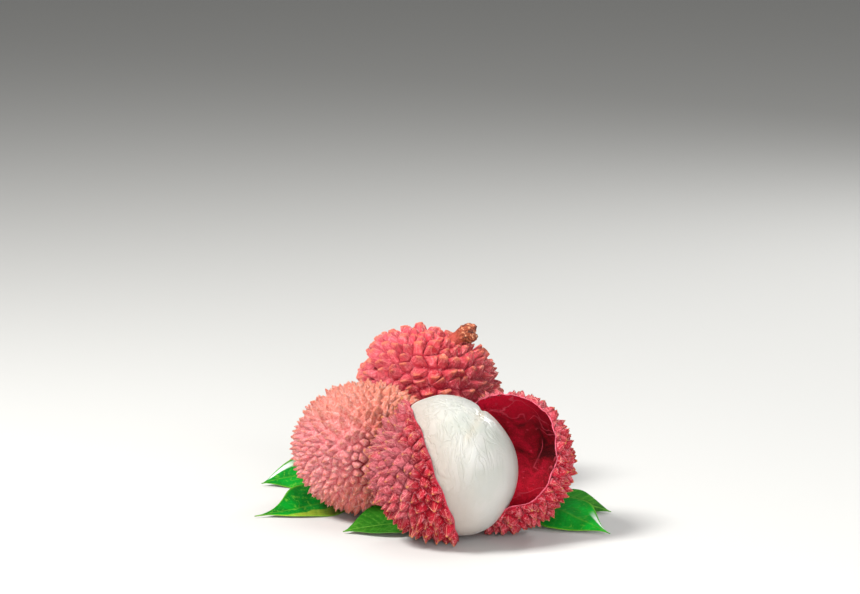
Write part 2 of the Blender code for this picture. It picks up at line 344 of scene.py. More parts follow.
def rayGroup():
    # Pale lines on the ridges round each tip. With k ridges, |sin(k phi / 2 + phase)| 2 r / k is
    # about the distance in mm to the nearest one.
    numbers = {"Cell": 0.0, "Spokes": 6.0, "Phase": 0.0, "Width": 0.12, "Rise": 0.5}
    tree, n, given, out = newGroup("tipRays", "About", numbers, ("Ribs", "Fibres", "Up"))
    way = n.vector("NORMALIZE", given["About"])
    far = n.vector("LENGTH", given["About"])
    split = n.add("ShaderNodeSeparateXYZ")
    n.put(split.inputs[0], way)
    phi = n.math("ARCTAN2", split.outputs[1], split.outputs[0])
    lift = n.add("ShaderNodeCombineXYZ")
    n.put(lift.inputs[2], n.math("MULTIPLY", given["Cell"], 60.0))
    place = n.vector("ADD", n.vector("SCALE", way, 1.6), lift.outputs[0])
    wander = n.noise(n.vector("ADD", n.vector("SCALE", given["About"], 1.2), lift.outputs[0]), 1.0, 1.0)
    turned = n.math("MULTIPLY", phi, n.math("MULTIPLY", given["Spokes"], 0.5))
    turned = n.math("ADD", n.math("ADD", turned, given["Phase"]), n.math("MULTIPLY", wander, 0.8))
    off = n.math("ABSOLUTE", n.math("SINE", turned))
    away = n.math("MULTIPLY", off, n.math("DIVIDE", n.math("MULTIPLY", far, 2.0), given["Spokes"]))
    line = n.between(away, given["Width"], n.math("MULTIPLY", given["Width"], 0.3))
    shown = n.between(n.noise(n.vector("ADD", place, (7.0, 3.0, 9.0)), 1.6, 0.0), 0.4, 0.52)
    window = n.math(
        "MULTIPLY", n.between(given["Rise"], 0.15, 0.4), n.between(given["Rise"], 1.02, 0.8)
    )
    n.put(out["Ribs"], n.math("MULTIPLY", n.math("MULTIPLY", line, shown), window))
    spread = n.vector("ADD", n.vector("SCALE", way, 7.0), n.vector("SCALE", given["About"], 0.5))
    fine = n.noise(n.vector("ADD", spread, lift.outputs[0]), 1.0, 3.0, 0.6)
    n.put(out["Fibres"], n.between(fine, 0.38, 0.64))
    # Up is 1 on the side of each tubercle that faces up; the skin paints light and shade there
    n.put(out["Up"], n.between(split.outputs[1], 0.5, -0.6))
    return tree


grain = grainGroup()
tipRays = rayGroup()


def useGroup(nodes, tree, **inputs):
    node = nodes.add("ShaderNodeGroup")
    node.node_tree = tree
    for key, value in inputs.items():
        nodes.put(node.inputs[key], value)
    return node.outputs


def skinMaterial(name, look):
    # Lychee skin. Colour climbs from the groove over the flank to the tip, and the darker groove colour is
    # partly painted shade.
    # The flank that faces up, towards the stem end, has its own colour: painted light and shade on that side
    # of each tubercle.
    # Wide patches, a pale haze that is partly painted light on the side the lamps face, zone tones that are
    # partly painted light and shade, brown weathering, ribs and fibres from each tip, painted highlight
    # specks, painted shade in small pits, pale apex dots that are partly painted highlight, and fine grain
    # lie over it.
    made, n, shader = newMaterial(name)
    place = n.add("ShaderNodeTexCoord").outputs["Object"]
    rise = n.attribute("rise")
    cell = n.attribute("cell")
    small = useGroup(n, grain, Vector=place, Size=look["grainSize"], Twist=0.8)
    about = n.attribute("about", vector=True)
    rays = useGroup(
        n,
        tipRays,
        About=about,
        Cell=cell,
        Spokes=n.attribute("spokes"),
        Phase=n.attribute("phase"),
        Width=look["ribWidth"],
        Rise=rise,
    )
    broad = n.noise(place, look["patchSize"], 3.0, 0.5)

    def over(colour, share, mask, tint, blend="MIX"):
        return n.over(colour, mask, look[share], look[tint], blend)

    flank = n.mix(n.between(broad, 0.35, 0.65), paint(*look["flank"]), paint(*look["flankTwo"]))
    flank = over(flank, "cellShare", cell, "cellTint")
    # painted light and shade: the side of each tubercle that faces up gets its own colour, lighter than the
    # flank on every skin but the back fruit's, where it is darker
    facet = n.math("MULTIPLY", rays["Up"], n.between(rise, 0.2, 0.5))
    flank = over(flank, "upFacetShadingShare", facet, "upFacetShading")
    # painted light: the pale haze is partly the skin's own bloom and partly painted light on the side that
    # the lamps face
    flank = over(flank, "hazeAndPaintedLightShare", n.attribute("hazeAndPaintedLight"), "hazeAndPaintedLight")
    # the groove colour is partly the skin's own crimson and partly painted shade in the valleys between
    # tubercles
    colour = n.mix(n.between(rise, look["grooveFrom"], look["grooveTo"]), paint(*look["groove"]), flank)
    colour = over(colour, "veilAndPaintedLightShare", n.attribute("hazeAndPaintedLight"), "hazeAndPaintedLight")
    # zone tone: a pale top on the left fruit, partly painted light; a dark side away from the lamps on the
    # back fruit, partly painted shade; the red of the plates on the opened fruit
    colour = over(colour, "zoneToneAndPaintedLightShare", n.attribute("zoneToneAndPaintedLight"), "zoneToneAndPaintedLight")
    colour = over(colour, "tipShare", n.between(rise, look["tipFrom"], look["tipTo"]), "tip")
    cracked = n.math("MULTIPLY", n.attribute("crack"), n.between(rise, 0.26, 0.08))
    cracked = n.math("MULTIPLY", cracked, n.between(broad, 0.36, 0.5))
    colour = over(colour, "crackShare", cracked, "crack")
    colour = over(colour, "fibreShare", rays["Fibres"], "fibre", "MULTIPLY")
    colour = over(colour, "mottleShare", small["Mottle"], "mottle", "MULTIPLY")
    crumple = n.noise(place, look["crumpleSize"], 3.0, 0.62, 1.6)
    # painted highlight specks on the high points of the crumple bump (glint), and painted shade specks in
    # its low points (pit)
    colour = over(colour, "glintShare", n.between(crumple, 0.53, 0.62), "glint")
    colour = over(colour, "pitShadeShare", n.between(crumple, 0.46, 0.36), "pitShade")
    colour = over(colour, "ribShare", rays["Ribs"], "rib")
    # a pale dot on each apex: partly the tip's own colour, partly a painted highlight
    colour = over(colour, "dotShare", n.between(rise, 0.84, 0.95), "dot")
    rust = n.math("MULTIPLY", n.attribute("rust"), n.between(small["Mottle"], 0.3, 0.7))
    colour = over(colour, "rustShare", rust, "rust")
    n.put(shader.inputs["Base Color"], colour)
    n.put(shader.inputs["Roughness"], n.between(small["Mottle"], 0, 1, look["gloss"], look["dull"]))
    height = n.math("ADD", small["Height"], n.math("MULTIPLY", rays["Fibres"], 0.45))
    height = n.math("ADD", height, n.math("MULTIPLY", rays["Ribs"], 0.8))
    height = n.math("ADD", height, n.math("MULTIPLY", crumple, 3.0))
    n.put(shader.inputs["Normal"], n.bump(height, look["bump"], 0.0005))
    setShader(shader, {
        "Specular IOR Level": look["shine"],
        "Subsurface Weight": look["soft"],
        "Subsurface Radius": (1.0, 0.35, 0.3),
        "Subsurface Scale": 0.0008,
    })
    return made


def wandered(ways, amount, size, seed):
    # directions pushed sideways by noise, so that the rows of cells are not straight
    return unit(ways + amount * np.stack([noiseAt(ways, size, seed + k) for k in range(3)], axis=1))


def tubercleShape(field, look, plates):
    # spine: a low dome with a point, k g + (1 - k) g^p; plate: a steep-sided pillow, 1 - (1 - g)^q
    g = field["rise"]
    spine = look["dome"] * np.sin(g * math.pi / 2) + (1 - look["dome"]) * g ** look["point"]
    plate = look["plateHeight"] * (1 - (1 - np.clip(g * 1.1, 0, 1)) ** look["plateEdge"])
    return spine * (1 - plates) + plate * plates


def cellNumbers(field, seed, count=2000):
    # one random number from 0 to 1 for each cell
    return np.random.default_rng(seed).random(count)[field["cell"]]


def skinValues(field, ways, look, hazeAndPaintedLight, zoneToneAndPaintedLight, rust, crack):
    # what the material reads on each point, beside the object's coordinates
    about = np.column_stack([field["about"], np.zeros(len(ways))])
    count, phase = spokes(field, look)
    values = {
        "rise": field["rise"],
        "cell": cellNumbers(field, look["seed"] + 7),
        "spokes": count,
        "phase": phase,
        "hazeAndPaintedLight": hazeAndPaintedLight,
        "zoneToneAndPaintedLight": zoneToneAndPaintedLight,
        "rust": rust,
        "crack": crack,
    }
    return values, {"about": about}


def spokes(field, look):
    # each cell has its own number of ridges, 4 to 8, and its own turn
    count = 4 + np.floor(5 * cellNumbers(field, look["seed"] + 20))
    return count, 2 * math.pi * cellNumbers(field, look["seed"] + 21)


def ridgeHeight(field, look):
    # sharp ridges run down from each apex: 1 - |sin(k phi / 2 + phase)|, strongest half way up,
    # where 4 g (1 - g) is 1
    count, phase = spokes(field, look)
    phi = np.arctan2(field["about"][:, 1], field["about"][:, 0])
    sharp = 1 - np.abs(np.sin(count * phi / 2 + phase))
    g = field["rise"]
    return look["ridgeDepth"] * (sharp - 0.36) * 4 * g * (1 - g)


def displaced(ways, axes, field, look, plates, seed):
    # base ellipsoid with long swells, plus the tubercles, each with its own height and lean
    base = ways * (np.array(axes) - look["floor"])
    swell = layeredNoise(ways, 0.9, seed, 2) * look["swell"]
    tall = 1 - look["uneven"] + 2 * look["uneven"] * cellNumbers(field, seed + 3)
    height = tubercleShape(field, look, plates) * look["tubercle"] * tall
    height += ridgeHeight(field, look) * (1 - 0.8 * plates)
    height += layeredNoise(ways, 0.07, seed + 5, 2) * look["wrinkle"] * (0.4 + field["rise"])
    leanWay = np.random.default_rng(seed + 9).normal(size=(2000, 3))[field["cell"]]
    leanWay -= ways * np.einsum("nd,nd->n", leanWay, ways)[:, None]
    lean = leanWay * (look["lean"] * field["rise"] ** 2)[:, None]
    return base + ways * (height + swell)[:, None] + lean


leftFruit = {
    "seed": 41,
    "radius": 16.9,
    "tubercles": 720,
    "stray": 0.17,
    "offCentre": 0.1,
    "ridge": 0.05,
    "ridgeWay": (0.0, 0.0, 1.0),
    "ridgeStray": 1.0,
    "tubercle": 2.45,
    "floor": 2.3,
    "dome": 0.14,
    "point": 1.5,
    "plateHeight": 0.65,
    "plateEdge": 3.4,
    "uneven": 0.16,
    "wrinkle": 0.22,
    "lean": 0.2,
    "ridgeDepth": 0.5,
    "swell": 0.25,
    "grainSize": 1500.0,
    "crumpleSize": 950.0,
    "patchSize": 130.0,
    "flank": (236, 124, 116),
    "flankTwo": (240, 142, 130),
    "cellShare": 0.5,
    "cellTint": (232, 136, 116),
    "upFacetShading": (240, 150, 128),
    "upFacetShadingShare": 0.35,
    "groove": (222, 100, 108),
    "grooveFrom": 0.0,
    "grooveTo": 0.4,
    "tip": (224, 110, 76),
    "tipFrom": 0.5,
    "tipTo": 0.9,
    "tipShare": 0.65,
    "hazeAndPaintedLight": (246, 170, 182),
    "hazeAndPaintedLightShare": 0.3,
    "veilAndPaintedLightShare": 0.45,
    "zoneToneAndPaintedLight": (244, 184, 150),
    "zoneToneAndPaintedLightShare": 0.45,
    "crack": (176, 16, 42),
    "crackShare": 1.0,
    "fibre": (226, 140, 126),
    "fibreShare": 0.25,
    "rib": (255, 220, 206),
    "ribWidth": 0.06,
    "ribShare": 0.25,
    "glint": (255, 206, 200),
    "glintShare": 0.5,
    "pitShade": (208, 76, 72),
    "pitShadeShare": 0.55,
    "dot": (250, 206, 160),
    "dotShare": 0.55,
    "mottle": (232, 160, 146),
    "mottleShare": 0.25,
    "rust": (150, 30, 24),
    "rustShare": 0.9,
    "gloss": 0.3,
    "dull": 0.5,
    "shine": 0.4,
    "bump": 0.7,
    "soft": 0.06,
}


def makeLeftFruit():
    look = leftFruit
    ways, faces = ballWays(120)
    seeds = evenSeeds(look["tubercles"], look["stray"], look["seed"])
    field = tubercleField(wandered(ways, 0.03, 0.22, look["seed"]), seeds, look)
    # rounded plates with cracks between them, low on the side that faces the opened fruit
    plateMiddle = unit([0.36, -0.92, -0.14])
    plates = smooth(0.80, 0.92, ways @ plateMiddle + 0.08 * noiseAt(ways, 0.25, 5))
    low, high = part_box("left_fruit")
    axes = (np.array(high) - np.array(low)) / 2 / mm
    points = displaced(ways, axes, field, look, plates, look["seed"])
    values, vectors = skinValues(
        field,
        ways,
        look,
        # left fruit haze, on its left front side: partly bloom, partly painted light
        hazeAndPaintedLight=smooth(0.1, 0.9, ways @ unit([-0.8, -0.35, 0.2]) + 0.25 * noiseAt(ways, 0.5, 8)),
        # pale tan top: partly the skin's colour, partly painted light from above
        zoneToneAndPaintedLight=smooth(0.2, 0.9, ways[:, 2] + 0.3 * noiseAt(ways, 0.4, 9)),
        rust=smooth(0.985, 1.0, cellNumbers(field, 77)) * smooth(0.5, 0.9, field["rise"]),
        crack=plates,
    )
    piece = meshPiece("leftFruit", seated(points, "left_fruit"), faces, values, vectors)
    return finished(piece, "left_fruit", skinMaterial("salmonSkin", look))


backFruit = {
    "seed": 60,
    "radius": 19.0,
    "tubercles": 340,
    "stray": 0.2,
    "offCentre": 0.14,
    "ridge": 0.42,
    "ridgeWay": (0.75, -0.2, 0.6),
    "ridgeStray": 0.28,
    "tubercle": 2.95,
    "floor": 2.85,
    "dome": 0.0,
    "point": 1.3,
    "plateHeight": 0.72,
    "plateEdge": 1.5,
    "uneven": 0.2,
    "wrinkle": 0.14,
    "lean": 0.2,
    "ridgeDepth": 0.4,
    "swell": 0.35,
    "grainSize": 1000.0,
    "crumpleSize": 700.0,
    "patchSize": 90.0,
    "flank": (226, 74, 92),
    "flankTwo": (236, 100, 106),
    "cellShare": 0.4,
    "cellTint": (208, 66, 80),
    "upFacetShading": (176, 40, 46),
    "upFacetShadingShare": 0.72,
    "groove": (160, 4, 40),
    "grooveFrom": 0.0,
    "grooveTo": 0.42,
    "tip": (226, 124, 98),
    "tipFrom": 0.62,
    "tipTo": 0.95,
    "tipShare": 0.5,
    "hazeAndPaintedLight": (246, 136, 154),
    "hazeAndPaintedLightShare": 0.35,
    "veilAndPaintedLightShare": 0.1,
    "zoneToneAndPaintedLight": (126, 22, 54),
    "zoneToneAndPaintedLightShare": 0.5,
    "crack": (160, 10, 40),
    "crackShare": 0.0,
    "fibre": (222, 130, 120),
    "fibreShare": 0.2,
    "rib": (255, 182, 172),
    "ribWidth": 0.08,
    "ribShare": 0.5,
    "glint": (250, 150, 156),
    "glintShare": 0.45,
    "pitShade": (180, 34, 52),
    "pitShadeShare": 0.5,
    "dot": (232, 140, 96),
    "dotShare": 0.4,
    "mottle": (224, 140, 126),
    "mottleShare": 0.3,
    "rust": (140, 50, 44),
    "rustShare": 0.6,
    "gloss": 0.26,
    "dull": 0.5,
    "shine": 0.4,
    "bump": 0.6,
    "soft": 0.06,
}
stemLean = math.radians(27)  # the back fruit's stem end leans this far towards +X
backTaper = {
    "axes": (18.8, 17.0, 17.2),
    "apex": 26.0,
    "shoulderDip": 1.7,
    "topDip": 0.9,
}


def leaned(points):
    # turns the fruit's own +Z towards +X by stemLean
    cos, sin = math.cos(stemLean), math.sin(stemLean)
    x, y, z = points[:, 0], points[:, 1], points[:, 2]
    return np.stack([x * cos + z * sin, y, z * cos - x * sin], axis=1)


def makeBackFruit():
    look = backFruit
    ways, faces = ballWays(120)
    seeds = evenSeeds(look["tubercles"], look["stray"], look["seed"], crowd=1.12)
    field = tubercleField(wandered(ways, 0.05, 0.3, look["seed"]), seeds, look)
    width, depth, length = backTaper["axes"]
    lengths = np.where(ways[:, 2] > 0, length, backTaper["apex"])
    axes = np.stack([np.full(len(ways), width), np.full(len(ways), depth), lengths], axis=1)
    world = leaned(ways)
    plates = 0.06 + 0.06 * noiseAt(ways, 0.5, 4) + 0.6 * smooth(0.74, 0.96, world[:, 2])
    points = displaced(ways, axes, field, look, plates, look["seed"])
    # the shoulder dips where the stem comes out, and the very top is a little flat
    dip = backTaper["shoulderDip"] * np.exp(-((1 - ways[:, 2]) / 0.09) ** 2)
    flat = backTaper["topDip"] * np.exp(-(1 - world @ unit([-0.12, -0.1, 0.98])) / 0.06)
    points -= ways * dip[:, None]
    points -= ways * flat[:, None]
    values, vectors = skinValues(
        field,
        ways,
        look,
        # back fruit haze, on its left side: partly bloom, partly painted light
        hazeAndPaintedLight=smooth(0.2, 0.95, world @ unit([-0.9, -0.2, 0.1]) + 0.2 * noiseAt(ways, 0.4, 8)),
        # dark purple side away from the lamps: partly the skin's colour, partly painted shade
        zoneToneAndPaintedLight=smooth(0.35, 0.95, world @ unit([0.92, -0.25, -0.1]) + 0.3 * noiseAt(ways, 0.35, 9)),
        rust=smooth(0.35, 0.9, world @ unit([0.95, -0.1, 0.25]) + 0.35 * noiseAt(ways, 0.15, 12)),
        crack=np.zeros(len(ways)),
    )
    piece = meshPiece("backFruit", seated(leaned(points), "back_fruit"), faces, values, vectors)
    return finished(piece, "back_fruit", skinMaterial("claySkin", look))


def capWays(n, facing, opening):
    # directions of a cap round -facing, evenly spread: angle = 2 asin(r sin(opening / 2))
    reach, turn = discGrid(n)
    axis = -unit(facing)
    east = unit(np.cross(axis, [0.0, 0.0, 1.0]))
    north = np.cross(axis, east)
    limit = opening(turn) if callable(opening) else opening
    angle = 2 * np.arcsin(reach * np.sin(limit / 2))
    ways = (
        axis * np.cos(angle)[..., None]
        + (east * np.cos(turn)[..., None] + north * np.sin(turn)[..., None])
        * np.sin(angle)[..., None]
    )
    return ways.reshape(-1, 3), reach.reshape(-1)


def rimLoop(n):
    # indices once round the outer edge of an n x n grid
    top = np.arange(n - 1)
    right = np.arange(n - 1) * n + n - 1
    bottom = (n - 1) * n + np.arange(n - 1, 0, -1)
    left = np.arange(n - 1, 0, -1) * n
    return np.concatenate([top, right, bottom, left])


def ringFaces(first, second):
    # quads between two loops of the same length
    following = np.roll(np.arange(len(first)), -1)
    return np.stack([first, first[following], second[following], second], axis=1)


openSkin = {
    "seed": 23,
    "radius": 17.2,
    "tubercles": 440,
    "stray": 0.18,
    "offCentre": 0.13,
    "ridge": 0.06,
    "ridgeWay": (0.0, 0.0, 1.0),
    "ridgeStray": 1.0,
    "tubercle": 2.5,
    "floor": 2.1,
    "dome": 0.05,
    "point": 1.45,
    "plateHeight": 0.72,
    "plateEdge": 2.6,
    "uneven": 0.25,
    "wrinkle": 0.3,
    "lean": 0.3,
    "ridgeDepth": 0.6,
    "swell": 0.25,
    "wall": 0.95,
    "thinner": 0.3,
    "flare": 1.1,
    "fadeFrom": 0.99,
    "dimples": 0.05,
    "grid": 210,
    "grainSize": 1500.0,
    "crumpleSize": 1000.0,
    "patchSize": 140.0,
    "flank": (188, 4, 34),
    "flankTwo": (202, 20, 46),
    "cellShare": 0.5,
    "cellTint": (188, 8, 42),
    "upFacetShading": (224, 52, 74),
    "upFacetShadingShare": 0.5,
    "groove": (150, 4, 34),
    "grooveFrom": 0.0,
    "grooveTo": 0.26,
    "tip": (226, 84, 72),
    "tipFrom": 0.5,
    "tipTo": 0.95,
    "tipShare": 0.5,
    "hazeAndPaintedLight": (228, 152, 160),
    "hazeAndPaintedLightShare": 0.5,
    "veilAndPaintedLightShare": 0.25,
    "zoneToneAndPaintedLight": (206, 14, 44),
    "zoneToneAndPaintedLightShare": 0.6,
    "crack": (140, 4, 30),
    "crackShare": 0.8,
    "fibre": (200, 70, 88),
    "fibreShare": 0.3,
    "rib": (252, 200, 170),
    "ribWidth": 0.05,
    "ribShare": 0.8,
    "glint": (242, 150, 160),
    "glintShare": 0.6,
    "pitShade": (156, 2, 32),
    "pitShadeShare": 0.65,
    "dot": (244, 176, 90),
    "dotShare": 0.7,
    "mottle": (206, 96, 106),
    "mottleShare": 0.2,
    "rust": (120, 20, 30),
    "rustShare": 0.4,
    "gloss": 0.28,
    "dull": 0.52,
    "shine": 0.25,
    "bump": 0.8,
    "soft": 0.04,
    "rim": (222, 70, 92),
}
openFruit = {
    "axes": (17.9, 16.0, 17.7),  # over the tips
    "corner": (-1, -1, -1),
    "facing": (0.94, 0.07, 0.33),
    "cut": -1.8,  # the cut's distance from the middle along facing
    "proud": 2.7,  # how far the bare flesh swells past the skin
    "proudFrom": -6.0,
    "proudRun": 13.6,
    "clear": 0.12,  # between skin and flesh
}


tipDepth = 1.5  # from the tips down to the base of the skin, on both halves
rimBulge = 0.08  # how far the rounded edge stands out
groundGap = 0.02


def halfSkin(axes, facing, opening, look, plateMask, maskValues):
    # outer tubercled cap, a rounded rim, and the smooth inner cap, as one closed surface
    n = look["grid"]
    ways, reach = capWays(n, facing, opening)
    seeds = evenSeeds(look["tubercles"], look["stray"], look["seed"])
    field = tubercleField(ways, seeds, look)
    plates = plateMask(ways)
    field["rise"] = field["rise"] * (1 - 0.85 * smooth(look["fadeFrom"], 1.0, reach))
    outer = displaced(ways, axes, field, look, plates, look["seed"])
    hollowAxes = np.array(axes) - tipDepth - look["wall"]
    inner = ways * hollowAxes
    flare = ways * (look["flare"] * smooth(0.84, 1.0, reach))[:, None]
    outer += flare
    inner += flare
    dimples = layeredNoise(ways, 0.3, look["seed"] + 31, 3) * look["dimples"] * (1 - reach**4)
    thinner = look["thinner"] * smooth(0.9, 1.0, reach)
    inner += ways * (dimples + thinner)[:, None]
    loop = rimLoop(n)
    edgeOut, edgeIn = outer[loop], inner[loop]
    rings = []
    for share in (0.3, 0.7):
        ring = edgeOut * (1 - share) + edgeIn * share
        rings.append(ring + unit(facing) * rimBulge)
    count = n * n
    loops = [loop]
    points = [outer, inner]
    total = 2 * count
    for ring in rings:
        points.append(ring)
        loops.append(np.arange(total, total + len(loop)))
        total += len(loop)
    loops.append(loop + count)
    faces = [gridFaces(n, n), gridFaces(n, n, count)[:, ::-1]]
    for first, second in zip(loops, loops[1:]):
        faces.append(ringFaces(first, second)[:, ::-1])
    points = np.concatenate(points)
    values, vectors = skinValues(field, ways, look, **maskValues(ways))
    extra = len(points) - count
    for key in values:
        values[key] = np.concatenate([values[key], np.zeros(extra)])
    vectors = {key: np.concatenate([array, np.zeros((extra, 3))]) for key, array in vectors.items()}
    edge = 2 * len(loop)
    values["inside"] = np.concatenate([np.zeros(count), np.ones(count), np.full(edge, 0.5)])
    values["rim"] = np.concatenate([smooth(0.99, 1, reach), smooth(0.988, 1, reach), np.ones(edge)])
    return points, np.concatenate(faces), values, vectors


def outwardFacing(points, faces):
    # the volume's sign tells whether the faces point outwards
    a, b, c, d = (points[faces[:, k]] for k in range(4))
    volume = np.einsum("nd,nd->n", a, np.cross(b, c)).sum() + np.einsum("nd,nd->n", a, np.cross(c, d)).sum()
    return faces if volume > 0 else faces[:, ::-1]


lining = {
    "base": (142, 0, 22),
    "light": (184, 8, 42),
    "dark": (84, 0, 8),
    "vein": (232, 84, 104),
    "spot": (210, 60, 80),
    # painted light: low and high are brighter reds laid on the lining low down and near its top, where the
    # hollow is in shade
    "low": (244, 18, 56),
    "high": (238, 0, 54),
}


def twoSidedSkin(name, look):
    # the outer skin's material, with the crimson lining inside and the pale cut along the rim
    made = skinMaterial(name, look)
    n = Nodes(made.node_tree)
    shader = made.node_tree.nodes["Principled BSDF"]
    outside = shader.inputs["Base Color"].links[0].from_socket
    roughOutside = shader.inputs["Roughness"].links[0].from_socket
    place = n.add("ShaderNodeTexCoord").outputs["Object"]
    broad = n.noise(place, 170.0, 5.0, 0.62, 0.8)
    colour = n.mix(n.between(broad, 0.48, 0.64), paint(*lining["base"]), paint(*lining["light"]))
    colour = n.mix(n.between(broad, 0.52, 0.38), colour, paint(*lining["dark"]))
    split = n.add("ShaderNodeSeparateXYZ")
    n.put(split.inputs[0], place)
    # painted light: the lining is painted brighter low down and near its top, where the hollow lies in shade
    colour = n.mix(n.between(split.outputs[2], 0.013, 0.004, 0.0, 0.8), colour, paint(*lining["low"]))
    colour = n.mix(n.between(split.outputs[2], 0.022, 0.031, 0.0, 0.85), colour, paint(*lining["high"]))
    # veins lie where a slow noise crosses its middle, and only in some places
    away = n.math("ABSOLUTE", n.math("SUBTRACT", n.noise(place, 120.0, 2.0, 0.45, 0.4), 0.5))
    shown = n.between(n.noise(place, 110.0, 1.0), 0.36, 0.5)
    vein = n.math("MULTIPLY", n.between(away, 0.016, 0.002), shown)
    colour = n.over(colour, vein, 0.75, lining["vein"])
    spots = n.between(n.noise(place, 900.0, 1.0, 0.4), 0.7, 0.76)
    colour = n.over(colour, spots, 0.5, lining["spot"])
    inside = n.between(n.attribute("inside"), 0.45, 0.55)
    both = n.mix(inside, outside, colour)
    both = n.over(both, n.attribute("rim"), 0.85, look["rim"])
    n.put(shader.inputs["Base Color"], both)
    rough = n.add("ShaderNodeMix", data_type="FLOAT")
    n.put(rough.inputs[0], inside)
    n.put(rough.inputs[2], roughOutside)
    n.put(rough.inputs[3], 0.85)
    n.put(shader.inputs["Roughness"], rough.outputs[0])
    return made


def finishedHalf(name, node, slot, material, shape, look, opening, plateMask, maskValues):
    # the half at the corner of its node's box that shape names, held above the ground
    points, faces, values, vectors = halfSkin(
        shape["axes"], shape["facing"], opening, look, plateMask, maskValues
    )
    points = points + middleOf(node, shape["axes"], shape["corner"])
    points[:, 2] = np.maximum(points[:, 2], groundGap)
    faces = outwardFacing(points - points.mean(axis=0), faces)
    piece = meshPiece(name, points, faces, values, vectors)
    return finished(piece, node, twoSidedSkin(material, look))


def makeOpenSkin():
    look = openSkin
    radius = openFruit["axes"][0] - tipDepth
    angle = math.acos(-openFruit["cut"] / radius)

    def opening(turn):
        return angle + 0.012 * np.sin(5 * turn + 1) + 0.01 * np.sin(13 * turn)

    def plateMask(ways):
        # rounded plates along the upper part of the cut that faces the front
        return smooth(0.86, 0.97, ways @ unit([-0.12, -0.72, 0.68]) + 0.1 * noiseAt(ways, 0.3, 3))

    def maskValues(ways):
        return {
            # haze on the upper left: partly bloom, partly painted light
            "hazeAndPaintedLight": smooth(0.35, 1.0, ways @ unit([-0.86, -0.3, 0.4]) + 0.3 * noiseAt(ways, 0.3, 6)),
            "zoneToneAndPaintedLight": plateMask(ways),
            "rust": smooth(0.4, 0.9, noiseAt(ways, 0.2, 14)),
            "crack": plateMask(ways),
        }

    names = ("openSkin", "open_fruit_skin", "rose_skin", "roseSkin")
    return finishedHalf(*names, openFruit, look, opening, plateMask, maskValues)


emptySkin = dict(
    openSkin,
    seed=35,
    radius=17.5,
    flare=0.3,
    thinner=0.6,
    fadeFrom=0.965,
    dimples=0.3,
    tubercle=2.4,
    flank=(206, 16, 48),
    flankTwo=(220, 44, 72),
    upFacetShading=(230, 96, 108),
    hazeAndPaintedLight=(232, 132, 142),
    hazeAndPaintedLightShare=0.3,
    ribShare=0.6,
    rim=(236, 110, 132),
)
emptyHalf = {
    "axes": (17.5, 17.5, 17.5),
    "corner": (1, 1, -1),
    "facing": (-0.62, -0.70, 0.34),
    "lips": ((232, 0.25, 0.6), (53, 0.42, 0.48)),  # degrees round the rim, radians more, width
}


def makeEmptySkin():
    look = emptySkin

    def opening(turn):
        # the edge waves, and reaches further round at each lip
        waves = 0.03 * np.sin(4 * turn + 2) + 0.022 * np.sin(9 * turn) + 0.014 * np.sin(17 * turn + 1)
        edge = math.pi / 2 + waves
        for at, extra, width in emptyHalf["lips"]:
            off = np.mod(turn - math.radians(at) + math.pi, 2 * math.pi) - math.pi
            edge = edge + extra * np.exp(-((off / width) ** 2))
        return edge

    def plateMask(ways):
        return 0.15 + 0.15 * noiseAt(ways, 0.4, 2)

    def maskValues(ways):
        return {
            # haze on the top: partly bloom, partly painted light
            "hazeAndPaintedLight": smooth(0.0, 1.0, ways[:, 2] + 0.4 * noiseAt(ways, 0.3, 6)),
            "zoneToneAndPaintedLight": np.zeros(len(ways)),
            "rust": smooth(0.3, 0.9, noiseAt(ways, 0.2, 14)),
            "crack": np.zeros(len(ways)),
        }

    names = ("emptySkin", "empty_skin_half", "crimson_skin", "crimsonSkin")
    return finishedHalf(*names, emptyHalf, look, opening, plateMask, maskValues)


